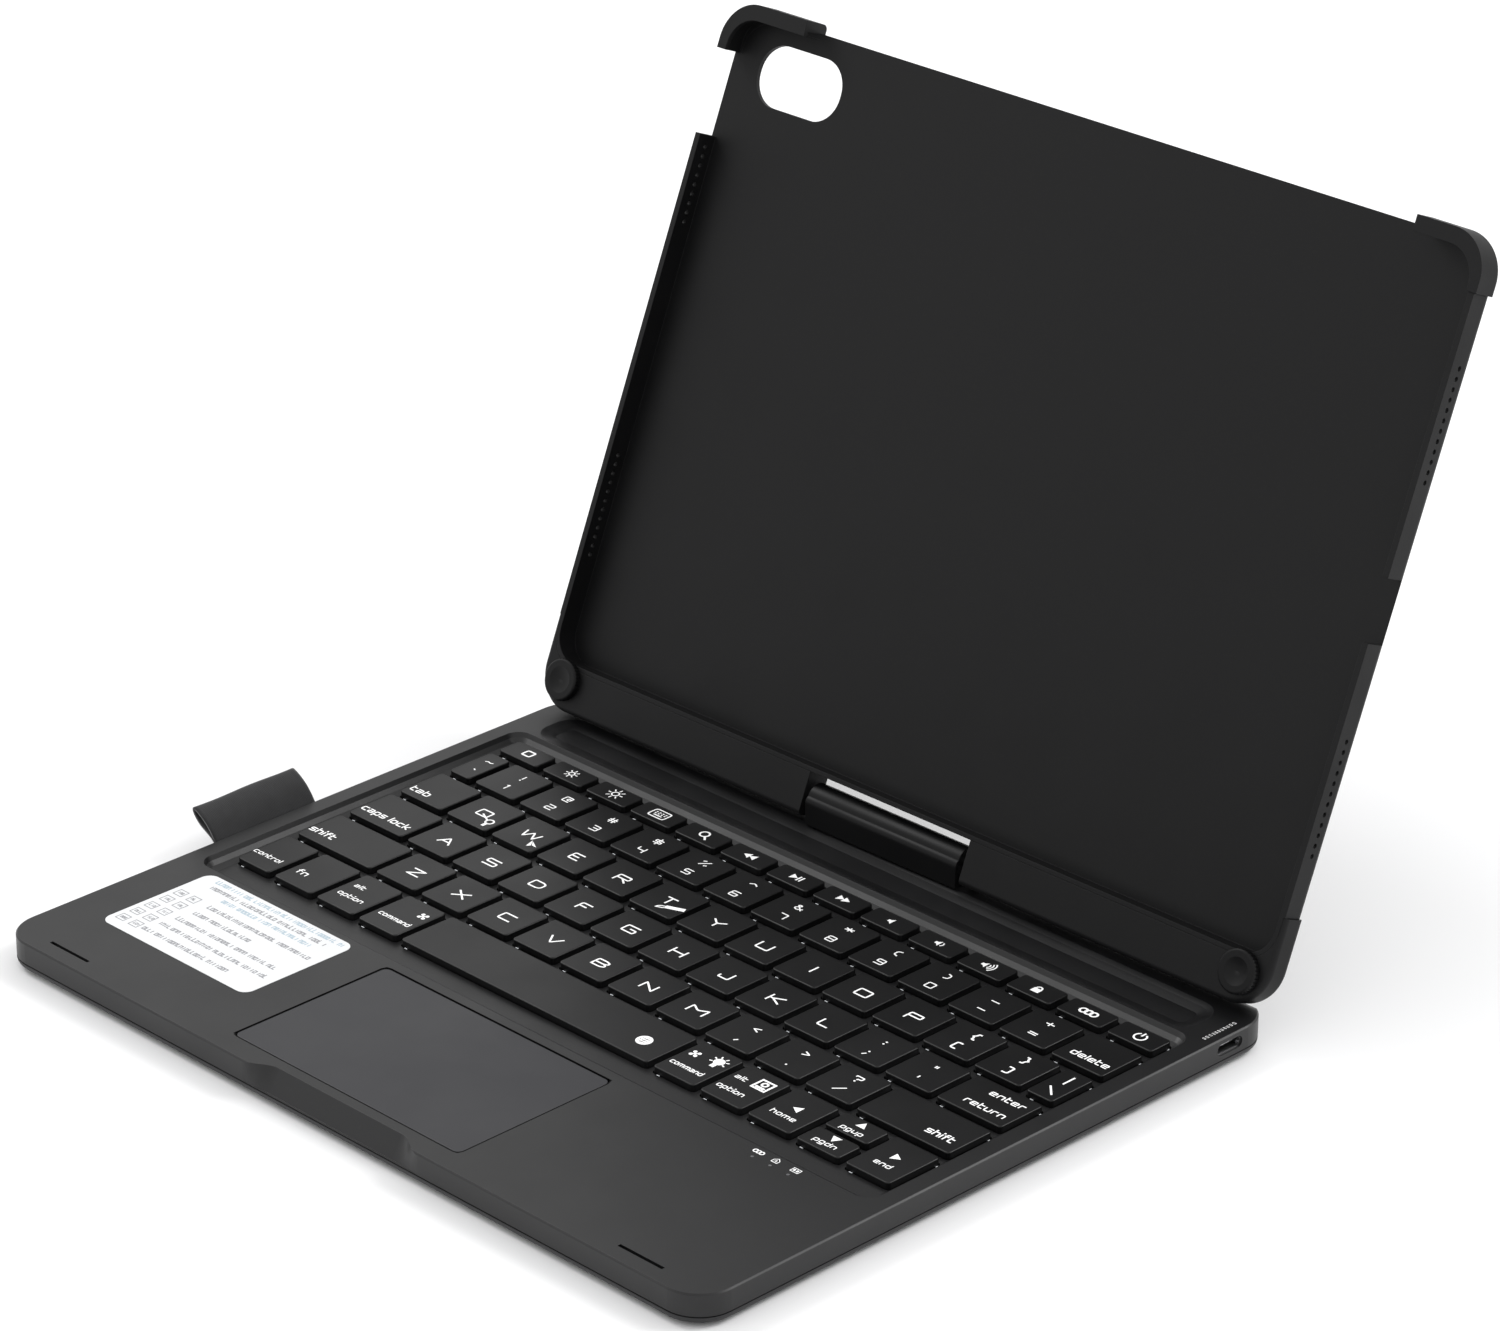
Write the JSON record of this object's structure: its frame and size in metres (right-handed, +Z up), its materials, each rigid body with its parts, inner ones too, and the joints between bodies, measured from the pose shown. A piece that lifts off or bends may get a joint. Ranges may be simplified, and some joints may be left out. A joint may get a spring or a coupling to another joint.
{
  "type": "tablet keyboard case",
  "caption": "Keyboard case for a tablet: thin base with low keys and a trackpad, and a tray on a centre hinge that swivels and tilts.",
  "frame": {"origin": "on the table, under the centre of the base's footprint", "axes": "+X to the user's right along the hinge, +Y away from the user, +Z up"},
  "size_m": [0.2618, 0.2689, 0.1918],
  "materials": {
    "battery_foil": "laminated foil",
    "bush_plastic": "acetal",
    "case_plastic": "matt black",
    "circuit_board": "solder mask",
    "cover_plastic": "matt black",
    "dome_rubber": "silicone",
    "elastic_band": "woven elastic",
    "foot_rubber": "matt",
    "frame_plastic": "moulded",
    "hinge_metal": "satin black",
    "key_plastic": "satin black",
    "led_lens": "frosted",
    "light_guide": "milky",
    "membrane_film": "printed film",
    "pad_rubber": "matt",
    "pin_steel": "ground",
    "screw_steel": "plated",
    "socket_steel": "drawn",
    "steel_sheet": "pressed sheet",
    "sticker_paper": "coated",
    "trackpad_surface": "satin",
    "tray_plastic": "matt black"
  },
  "bodies": {
    "base": {"top_deck": "case_plastic", "bottom_cover": "cover_plastic", "key_plate": "steel_sheet", "backlight_sheet": "light_guide", "key_membrane": "membrane_film", "rubber_domes": "dome_rubber", "scissor_frames": "frame_plastic", "main_board": "circuit_board", "battery_left": "battery_foil", "battery_right": "battery_foil", "usb_c_socket": "socket_steel", "trackpad_board": "circuit_board", "status_led_board": "circuit_board", "status_leds": "led_lens", "rubber_feet": "foot_rubber", "cover_screws": "screw_steel", "reference_sticker": "sticker_paper", "pencil_loop": "elastic_band", "swivel_bush": "bush_plastic"},
    "trackpad": {"trackpad_pad": "trackpad_surface"},
    "swivel_arm": {"hinge_arm": "hinge_metal", "swivel_washer": "screw_steel", "swivel_screw": "screw_steel"},
    "lid": {"tablet_tray": "tray_plastic", "chin_cover_left": "tray_plastic", "chin_cover_right": "tray_plastic", "corner_bumper_left": "tray_plastic", "corner_bumper_right": "tray_plastic", "hinge_bracket_left": "steel_sheet", "hinge_bracket_right": "steel_sheet", "bracket_screws": "screw_steel", "tilt_pin_left": "pin_steel", "tilt_pin_right": "pin_steel", "standoff_pads": "pad_rubber"},
    "key_tab": {"key_tab": "key_plastic"},
    "key_caps_lock": {"key_caps_lock": "key_plastic"},
    "key_shift_left": {"key_shift_left": "key_plastic"},
    "key_shift_right": {"key_shift_right": "key_plastic"},
    "key_enter": {"key_enter": "key_plastic"},
    "key_delete": {"key_delete": "key_plastic"},
    "key_space": {"key_space": "key_plastic"},
    "key_control": {"key_control": "key_plastic"},
    "key_fn": {"key_fn": "key_plastic"},
    "key_alt_left": {"key_alt_left": "key_plastic"},
    "key_alt_right": {"key_alt_right": "key_plastic"},
    "key_meta_left": {"key_meta_left": "key_plastic"},
    "key_meta_right": {"key_meta_right": "key_plastic"},
    "key_arrow_left": {"key_arrow_left": "key_plastic"},
    "key_arrow_up": {"key_arrow_up": "key_plastic"},
    "key_arrow_down": {"key_arrow_down": "key_plastic"},
    "key_arrow_right": {"key_arrow_right": "key_plastic"},
    "key_power": {"key_power": "key_plastic"},
    "keys_function_row": {"keys_function_row": "key_plastic"},
    "keys_number_row": {"keys_number_row": "key_plastic"},
    "keys_q_row": {"keys_q_row": "key_plastic"},
    "keys_a_row": {"keys_a_row": "key_plastic"},
    "keys_z_row": {"keys_z_row": "key_plastic"}
  },
  "joints": [
    {"name": "swivel", "type": "hinge", "parent": "base", "child": "swivel_arm", "pos_m": [0, 0.0925, 0.0154], "axis": [0, 0, 1], "range_deg": [-181, 179]},
    {"name": "lid_tilt", "type": "hinge", "parent": "swivel_arm", "child": "lid", "pos_m": [0, 0.0925, 0.0154], "axis": [0.9998, 0.0175, 0], "range_deg": [-67.2, 112.8]},
    {"name": "trackpad_click", "type": "slide", "parent": "base", "child": "trackpad", "axis": [0, 0, 1], "range_m": [-0.0003, 0], "stiffness_N_per_m": 2000},
    {"name": "press_tab", "type": "slide", "parent": "base", "child": "key_tab", "axis": [0, 0, 1], "range_m": [-0.0012, 0], "stiffness_N_per_m": 300, "deforming": ["rubber_domes", "scissor_frames"]},
    {"name": "press_caps_lock", "type": "slide", "parent": "base", "child": "key_caps_lock", "axis": [0, 0, 1], "range_m": [-0.0012, 0], "stiffness_N_per_m": 300, "deforming": ["rubber_domes", "scissor_frames"]},
    {"name": "press_shift_left", "type": "slide", "parent": "base", "child": "key_shift_left", "axis": [0, 0, 1], "range_m": [-0.0012, 0], "stiffness_N_per_m": 300, "deforming": ["rubber_domes", "scissor_frames"]},
    {"name": "press_shift_right", "type": "slide", "parent": "base", "child": "key_shift_right", "axis": [0, 0, 1], "range_m": [-0.0012, 0], "stiffness_N_per_m": 300, "deforming": ["rubber_domes", "scissor_frames"]},
    {"name": "press_enter", "type": "slide", "parent": "base", "child": "key_enter", "axis": [0, 0, 1], "range_m": [-0.0012, 0], "stiffness_N_per_m": 300, "deforming": ["rubber_domes", "scissor_frames"]},
    {"name": "press_delete", "type": "slide", "parent": "base", "child": "key_delete", "axis": [0, 0, 1], "range_m": [-0.0012, 0], "stiffness_N_per_m": 300, "deforming": ["rubber_domes", "scissor_frames"]},
    {"name": "press_space", "type": "slide", "parent": "base", "child": "key_space", "axis": [0, 0, 1], "range_m": [-0.0012, 0], "stiffness_N_per_m": 300, "deforming": ["rubber_domes", "scissor_frames"]},
    {"name": "press_control", "type": "slide", "parent": "base", "child": "key_control", "axis": [0, 0, 1], "range_m": [-0.0012, 0], "stiffness_N_per_m": 300, "deforming": ["rubber_domes", "scissor_frames"]},
    {"name": "press_fn", "type": "slide", "parent": "base", "child": "key_fn", "axis": [0, 0, 1], "range_m": [-0.0012, 0], "stiffness_N_per_m": 300, "deforming": ["rubber_domes", "scissor_frames"]},
    {"name": "press_alt_left", "type": "slide", "parent": "base", "child": "key_alt_left", "axis": [0, 0, 1], "range_m": [-0.0012, 0], "stiffness_N_per_m": 300, "deforming": ["rubber_domes", "scissor_frames"]},
    {"name": "press_alt_right", "type": "slide", "parent": "base", "child": "key_alt_right", "axis": [0, 0, 1], "range_m": [-0.0012, 0], "stiffness_N_per_m": 300, "deforming": ["rubber_domes", "scissor_frames"]},
    {"name": "press_meta_left", "type": "slide", "parent": "base", "child": "key_meta_left", "axis": [0, 0, 1], "range_m": [-0.0012, 0], "stiffness_N_per_m": 300, "deforming": ["rubber_domes", "scissor_frames"]},
    {"name": "press_meta_right", "type": "slide", "parent": "base", "child": "key_meta_right", "axis": [0, 0, 1], "range_m": [-0.0012, 0], "stiffness_N_per_m": 300, "deforming": ["rubber_domes", "scissor_frames"]},
    {"name": "press_arrow_left", "type": "slide", "parent": "base", "child": "key_arrow_left", "axis": [0, 0, 1], "range_m": [-0.0012, 0], "stiffness_N_per_m": 300, "deforming": ["rubber_domes", "scissor_frames"]},
    {"name": "press_arrow_up", "type": "slide", "parent": "base", "child": "key_arrow_up", "axis": [0, 0, 1], "range_m": [-0.0012, 0], "stiffness_N_per_m": 300, "deforming": ["rubber_domes", "scissor_frames"]},
    {"name": "press_arrow_down", "type": "slide", "parent": "base", "child": "key_arrow_down", "axis": [0, 0, 1], "range_m": [-0.0012, 0], "stiffness_N_per_m": 300, "deforming": ["rubber_domes", "scissor_frames"]},
    {"name": "press_arrow_right", "type": "slide", "parent": "base", "child": "key_arrow_right", "axis": [0, 0, 1], "range_m": [-0.0012, 0], "stiffness_N_per_m": 300, "deforming": ["rubber_domes", "scissor_frames"]},
    {"name": "press_power", "type": "slide", "parent": "base", "child": "key_power", "axis": [0, 0, 1], "range_m": [-0.0012, 0], "stiffness_N_per_m": 300, "deforming": ["rubber_domes", "scissor_frames"]},
    {"name": "press_function_row", "type": "slide", "parent": "base", "child": "keys_function_row", "axis": [0, 0, 1], "range_m": [-0.0012, 0], "stiffness_N_per_m": 1500, "deforming": ["rubber_domes", "scissor_frames"]},
    {"name": "press_number_row", "type": "slide", "parent": "base", "child": "keys_number_row", "axis": [0, 0, 1], "range_m": [-0.0012, 0], "stiffness_N_per_m": 1500, "deforming": ["rubber_domes", "scissor_frames"]},
    {"name": "press_q_row", "type": "slide", "parent": "base", "child": "keys_q_row", "axis": [0, 0, 1], "range_m": [-0.0012, 0], "stiffness_N_per_m": 1500, "deforming": ["rubber_domes", "scissor_frames"]},
    {"name": "press_a_row", "type": "slide", "parent": "base", "child": "keys_a_row", "axis": [0, 0, 1], "range_m": [-0.0012, 0], "stiffness_N_per_m": 1500, "deforming": ["rubber_domes", "scissor_frames"]},
    {"name": "press_z_row", "type": "slide", "parent": "base", "child": "keys_z_row", "axis": [0, 0, 1], "range_m": [-0.0012, 0], "stiffness_N_per_m": 1500, "deforming": ["rubber_domes", "scissor_frames"]}
  ]
}
